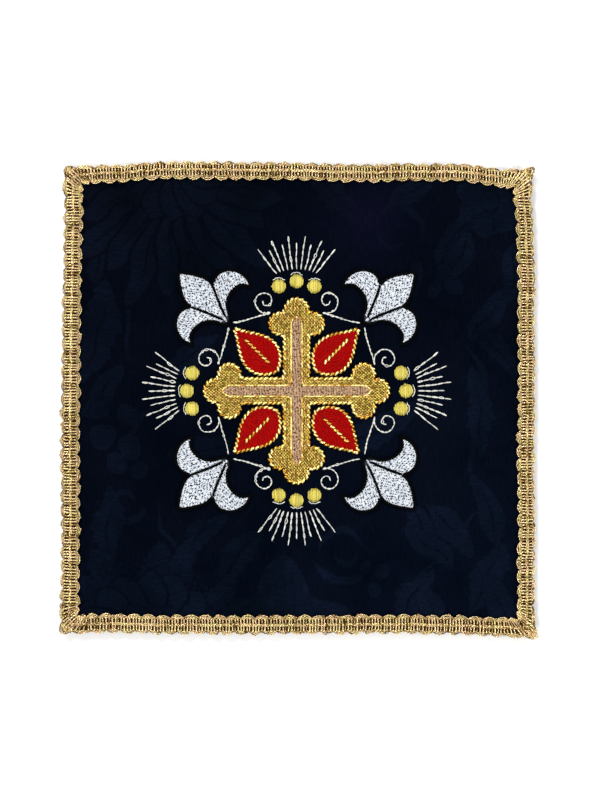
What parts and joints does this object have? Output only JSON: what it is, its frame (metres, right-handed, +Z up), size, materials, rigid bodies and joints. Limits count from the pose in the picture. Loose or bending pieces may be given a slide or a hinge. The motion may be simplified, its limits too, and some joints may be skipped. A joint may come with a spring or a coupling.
{
  "type": "chalice pall",
  "caption": "Stiffened square cloth cover for a chalice, navy damask with raised embroidery and a scalloped gold braid sewn round its edge.",
  "frame": {"origin": "bottom centre of the bounding box: the pall lies flat on its plain underside", "axes": "+Z up out of the embroidered face, +Y towards the pall's top edge, +X to its right edge"},
  "size_m": [0.1668, 0.1672, 0.0041],
  "materials": {
    "navy_damask": "satin damask, tone on tone",
    "gold_gimp": "metallic thread gimp",
    "gold_thread": "lustrous embroidery thread",
    "red_thread": "rayon embroidery thread",
    "white_thread": "rayon embroidery thread",
    "bright_gold_thread": "padded satin stitch"
  },
  "bodies": {
    "root": {"damask_panel": "navy_damask", "gold_braid": "gold_gimp", "cross_gold": "gold_thread", "petal_red_1": "red_thread", "petal_red_2": "red_thread", "petal_red_3": "red_thread", "petal_red_4": "red_thread", "lily_white_1": "white_thread", "lily_white_2": "white_thread", "lily_white_3": "white_thread", "lily_white_4": "white_thread", "disc_gold_1": "bright_gold_thread", "disc_gold_2": "bright_gold_thread", "disc_gold_3": "bright_gold_thread", "disc_gold_4": "bright_gold_thread", "disc_gold_5": "bright_gold_thread", "disc_gold_6": "bright_gold_thread", "disc_gold_7": "bright_gold_thread", "disc_gold_8": "bright_gold_thread", "disc_gold_9": "bright_gold_thread", "disc_gold_10": "bright_gold_thread", "disc_gold_11": "bright_gold_thread", "disc_gold_12": "bright_gold_thread"}
  },
  "joints": []
}
